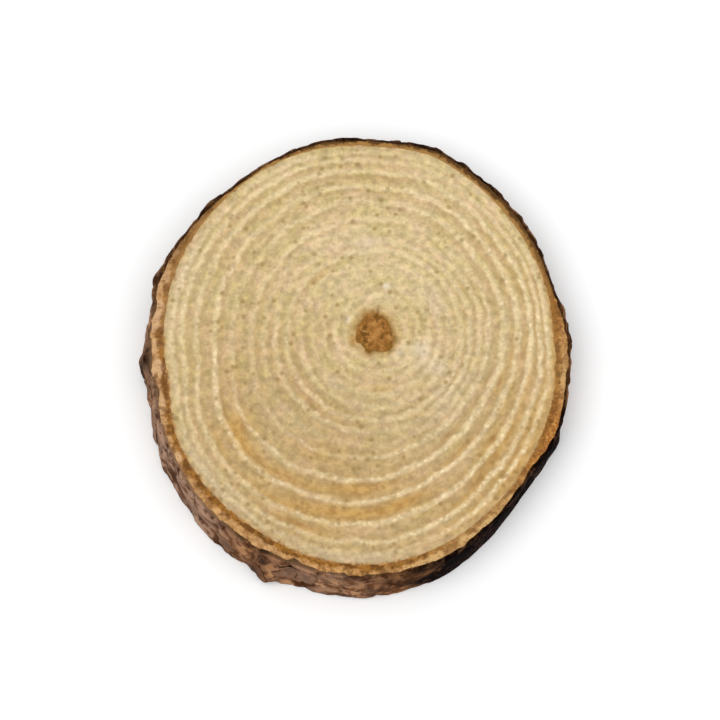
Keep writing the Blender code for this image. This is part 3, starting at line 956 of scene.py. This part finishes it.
def section_heights(around, out, inner_edge):
    """How far the inner and the outer bark's sawn faces lie below flat, as two arrays.

    Both are fibrous or crumbly. Each drops under the other beyond the ragged line where
    the inner bark ends, so that the two surfaces cross there.
    """
    groove = CAMBIUM_DEPTH * bell(out - 0.2, CAMBIUM_HALF_WIDTH)
    fibrous = FIBRE_RELIEF * (1.0 + over_side(41, 160, 10, around, out, 3))
    crumbly = CRUMB_RELIEF * (1.0 + over_side(42, 210, 14, around, out, 3))
    inner = groove + fibrous + LAYER_DROP * smooth_step(0.0, LAYER_OVERLAP, out - inner_edge)
    outer = 0.06 + crumbly + LAYER_DROP * smooth_step(0.0, LAYER_OVERLAP, inner_edge - out)
    return np.maximum(inner, 0.0), np.maximum(outer, 0.0)


def inner_bark_edge(around):
    """How far out from the wood the inner bark ends: a ragged share of the bark's thickness.

    It stays inside the thinnest place of the bark on each column of the side.
    """
    share = round_curve(INNER_EDGE, around) + INNER_EDGE_RAGGED * rough(43, 70, 3, around / TURN, 0.4, 4)
    height = np.linspace(CORNER, THICKNESS - CORNER, BARK_SIDE_ROWS // 2)[:, None] + 0.0 * around
    column = around + 0.0 * height
    thinnest = (bark_radius(column, height)[0] - wood_radius(column, height)).min(axis=0, keepdims=True)
    return np.minimum(share * bark_thickness(around), thinnest - CORNER - LEAST_COVER)


def ring_piece(name, radius, height, around, values, material):
    """A closed ring: a section of rows carried round the trunk, the last row joined to the first."""
    values = {key: value.reshape(-1, *value.shape[2:]) for key, value in values.items()}
    faces = (tube_faces(*radius.shape, closed=True),)
    points = placed(radius, around, height).reshape(-1, 3)
    return make_piece(name, points, faces, values, material)


def make_inner_bark():
    """The inner bark: its sawn top and underside show, its walls are hidden in wood and bark."""
    angle = np.arange(INNER_BARK_COLUMNS)[None, :] * TURN / INNER_BARK_COLUMNS
    inner_edge = inner_bark_edge(angle)

    def face_rows(face, rows):
        """Evenly out from just inside the wood across one sawn face, then into the hidden wall."""
        across = np.linspace(0.0, 1.0, rows)[:, None]
        out = across * (inner_edge + LAYER_OVERLAP + HIDDEN_IN_WOOD) - HIDDEN_IN_WOOD
        sink, _ = section_heights(angle, out, inner_edge)
        wall = np.full(angle.shape, HIDDEN_WALL_OUT)
        out = np.concatenate((out, wall))
        sink = np.concatenate((sink, 0.0 * wall + HIDDEN_WALL_FROM_FACE))
        return out, wood_radius(angle, np.full(angle.shape, face)) + out, np.abs(face - sink)

    top, low = face_rows(THICKNESS, BARK_TOP_ROWS), face_rows(0.0, BARK_UNDER_ROWS)
    out, radius, height = (np.concatenate((first, last[::-1])) for first, last in zip(top, low))
    around = angle + 0.0 * radius
    values = {
        "out": out,
        "orange": round_places(around, ORANGE_PLACES),
        "pinkish": round_places(around, PINKISH_PLACES),
        "browned": round_places(around, BROWNED_PLACES),
        "woody": round_places(around, WOODY_PLACES),
        "line": round_curve(CAMBIUM_CLARITY, around),
        "fibre": on_cylinder(around, 95.0, radius * 1.6 + height * 0.5),
    }
    return ring_piece("inner_bark", radius, height, around, values, inner_bark_finish())


def bark_section(rows, around, face):
    """One sawn face of the outer bark, from under the inner bark's edge out to the rim.

    It crumbles towards the rim. Returns radius, how far it sinks, and the share across.
    """
    across = np.linspace(0.0, 1.0, rows)[:, None] + 0.0 * around
    rim, crack, left = bark_radius(around, np.full(around.shape, abs(face - CORNER)))
    wood = wood_radius(around, np.full(around.shape, face))
    inner_edge = inner_bark_edge(around)
    start = wood + np.maximum(inner_edge - LAYER_OVERLAP, 0.0)
    radius = start + across * (rim - CORNER - start)
    _, sink = section_heights(around, radius - wood, inner_edge)
    missing = 0.30 * smooth_step(2.6, 0.8, left) * smooth_step(0.5, 1.0, across)
    broken = 0.35 * crack * smooth_step(0.4, 1.0, across)
    return radius, sink + missing + broken, across


def make_bark():
    """A closed ring of outer bark, as a section carried round the trunk.

    The section runs out across the top, over the rim, down the side, back in across the
    underside and up the inner wall, which is hidden in the inner bark.
    """
    around = np.arange(BARK_COLUMNS)[None, :] * TURN / BARK_COLUMNS
    top_radius, top_sink, top_across = bark_section(BARK_TOP_ROWS, around, THICKNESS)
    low_radius, low_sink, low_across = bark_section(BARK_UNDER_ROWS, around, 0.0)

    side_share = np.linspace(0.0, 1.0, BARK_SIDE_ROWS)[:, None]
    side_height = (THICKNESS - CORNER) + side_share * (2.0 * CORNER - THICKNESS) + 0.0 * around
    side_around = around + 0.0 * side_height
    side_radius, crack, left = bark_radius(side_around, side_height)

    turn_share = np.arange(1, BARK_CORNER_ROWS)[:, None] / BARK_CORNER_ROWS
    rise = np.sin(turn_share * math.pi / 2.0)
    swing = 1.0 - np.cos(turn_share * math.pi / 2.0)
    top_height = THICKNESS - top_sink
    corner_radius = top_radius[-1:] + rise * (side_radius[:1] - top_radius[-1:])
    corner_height = top_height[-1:] + swing * (side_height[:1] - top_height[-1:])
    low_corner_radius = side_radius[-1:] + swing * (low_radius[-1:] - side_radius[-1:])
    low_corner_height = side_height[-1:] + rise * (low_sink[-1:] - side_height[-1:])

    radius = np.concatenate((
        top_radius, corner_radius, side_radius, low_corner_radius, low_radius[::-1]))
    height = np.concatenate((
        top_height, corner_height, side_height, low_corner_height, low_sink[::-1]))
    corner = np.ones(turn_share.shape) + 0.0 * around

    def carried(top_value, side_value, low_value):
        """Rows of a value that is known on the top, side and underside."""
        return np.concatenate((
            top_value, corner * side_value[:1], side_value, corner * side_value[-1:], low_value[::-1]))

    everywhere = around + 0.0 * radius
    top_zero, low_zero = 0.0 * top_across, 0.0 * low_across
    side_one = np.ones(side_height.shape)
    rim_reach = smooth_step(0.70, 1.0, top_across)
    low_reach = smooth_step(0.70, 1.0, low_across)
    black_edge = smooth_step(0.30, 0.85, top_across)
    values = {
        "side": carried(0.4 * rim_reach, side_one, 0.4 * low_reach),
        "layers": carried(top_zero + left[:1], left, low_zero + left[-1:]),
        "crack": carried(crack[:1] * rim_reach, crack, crack[-1:] * low_reach),
        # Painted shade on the smooth side, and dark bark elsewhere, faded in across the top face
        "shade_and_dark_bark": shade_and_dark_bark(everywhere, height) * carried(black_edge, side_one, low_reach),
        "greyed": round_places(everywhere, GREYED_PLACES),
        "along": on_cylinder(everywhere, 16.0, height * 0.55),
    }
    return ring_piece("bark", radius, height, everywhere, values, bark_finish())


def make_scales():
    """Thin loose scales that cling to the bark's side.

    Each is a closed lens: rings of points run from the middle of its outside to its
    ragged rim and back along its inside. It follows the bark and lifts along one edge.
    """
    rng = np.random.default_rng(SCALE_SEED)
    count = SCALE_COUNT
    middle_angle = rng.uniform(0.0, TURN, count)
    middle_height = rng.uniform(1.0, THICKNESS - 1.0, count)
    half_wide = rng.uniform(1.6, 4.2, count)
    half_tall = rng.uniform(1.2, 3.6, count)
    lift = rng.uniform(0.05, 0.35, count) * (1.0 - smooth_side(middle_angle))
    lift_way = rng.uniform(0.0, TURN, count)
    thickness = rng.uniform(0.10, 0.20, count)

    rings = np.concatenate((np.arange(1, SCALE_RINGS + 1), np.arange(SCALE_RINGS - 1, 0, -1))) / SCALE_RINGS
    outside = np.concatenate((np.ones(SCALE_RINGS), np.zeros(SCALE_RINGS - 1)))
    way = np.arange(SCALE_POINTS) * TURN / SCALE_POINTS
    ragged = 1.0 + rng.uniform(-0.28, 0.22, (count, SCALE_POINTS))
    size = rings[None, :, None]
    x = size * ragged[:, None, :] * np.cos(way)
    y = size * ragged[:, None, :] * np.sin(way)
    poles = np.zeros((count, 1, SCALE_POINTS))
    x = np.concatenate((poles, x, poles), axis=1)
    y = np.concatenate((poles, y, poles), axis=1)
    size = np.concatenate((poles[:1], size + 0.0 * way, poles[:1]), axis=1)
    front = np.concatenate(([1.0], outside, [0.0]))[None, :, None]

    column = (slice(None), None, None)
    around = middle_angle[column] + x * half_wide[column] / (MEAN_WOOD + MEAN_BARK)
    height = np.clip(middle_height[column] + y * half_tall[column], 0.25, THICKNESS - 0.3)
    bark, _, _ = bark_radius(around, height)
    leaning = x * np.cos(lift_way)[column] + y * np.sin(lift_way)[column]
    raised = lift[column] * smooth_step(-0.4, 1.0, leaning)
    body = thickness[column] * np.sqrt(np.clip(1.0 - size ** 2, 0.0, 1.0))
    radius = bark + 0.02 + raised + np.where(front > 0.5, body, -body)
    points = placed(radius, around, height)

    rows = points.shape[1]
    flat = tube_faces(rows, SCALE_POINTS, closed=False)
    shift = (np.arange(count) * rows * SCALE_POINTS)[:, None, None]
    faces = (flat[None] + shift).reshape(-1, 4)
    piece_values = {
        "rim": (smooth_step(0.6, 1.0, size) + 0.0 * x).ravel() * 0.6,
        # Painted shade on the smooth side, and dark bark elsewhere
        "shade_and_dark_bark": shade_and_dark_bark(around, height).ravel(),
        "greyed": round_places(around, GREYED_PLACES).ravel(),
    }
    piece = make_piece("bark_scales", points.reshape(-1, 3), (faces,), piece_values, scale_finish())
    weld_poles(piece)
    return piece


def weld_poles(piece):
    """Merges the points that share one place at the middle of each scale."""
    bm = bmesh.new()
    bm.from_mesh(piece.data)
    bmesh.ops.remove_doubles(bm, verts=bm.verts, dist=1e-7)
    bm.to_mesh(piece.data)
    bm.free()


# Floor, light and camera

def make_floor():
    """A pale matt floor, a hair below the slice so that the two don't share a plane."""
    bpy.ops.mesh.primitive_plane_add(size=6.0, location=(0.0, 0.0, -0.00005))
    floor = bpy.context.object
    floor.name = "floor"
    material = bpy.data.materials.new("Floor")
    material.use_nodes = True
    shader = material.node_tree.nodes["Principled BSDF"]
    shader.inputs["Base Color"].default_value = (FLOOR_GREY, FLOOR_GREY, FLOOR_GREY, 1.0)
    shader.inputs["Roughness"].default_value = 0.9
    shader.inputs["Specular IOR Level"].default_value = 0.0
    floor.data.materials.append(material)


def make_lights():
    """A soft key from the upper left, a weak fill from the right, and an even pale surround."""
    world = bpy.data.worlds.new("Surround")
    world.use_nodes = True
    background = world.node_tree.nodes["Background"]
    background.inputs["Color"].default_value = (1.0, 1.0, 1.0, 1.0)
    background.inputs["Strength"].default_value = SURROUND_STRENGTH
    bpy.context.scene.world = world
    for name, strength, soft, tilt, turn in LIGHTS:
        light = bpy.data.lights.new(name, "SUN")
        light.energy = strength
        light.angle = math.radians(soft)
        lamp = bpy.data.objects.new(name, light)
        lamp.rotation_euler = (math.radians(tilt), 0.0, math.radians(turn))
        bpy.context.scene.collection.objects.link(lamp)


def make_camera():
    """Looks down at the slice from the front, with the pith at its own pixel of the picture."""
    right = (PITH_PIXEL[0] - PICTURE_SIDE / 2) * MM_PER_PIXEL
    up = (PICTURE_SIDE / 2 - PITH_PIXEL[1]) * MM_PER_PIXEL
    aim = Vector((PITH_X - right, PITH_Y - up / math.cos(CAMERA_TILT), THICKNESS))
    back = Vector((0.0, -math.sin(CAMERA_TILT), math.cos(CAMERA_TILT)))
    data = bpy.data.cameras.new("camera")
    data.sensor_width = SENSOR
    data.lens = SENSOR * CAMERA_DISTANCE / (MM_PER_PIXEL * PICTURE_SIDE)
    camera = bpy.data.objects.new("camera", data)
    camera.location = (aim + back * CAMERA_DISTANCE) * MM
    camera.rotation_euler = back.to_track_quat("Z", "Y").to_euler()
    bpy.context.scene.collection.objects.link(camera)
    bpy.context.scene.camera = camera


make_wood()
make_pith()
make_inner_bark()
make_bark()
make_scales()
make_floor()
make_lights()
make_camera()
bpy.context.scene.view_settings.view_transform = "Standard"
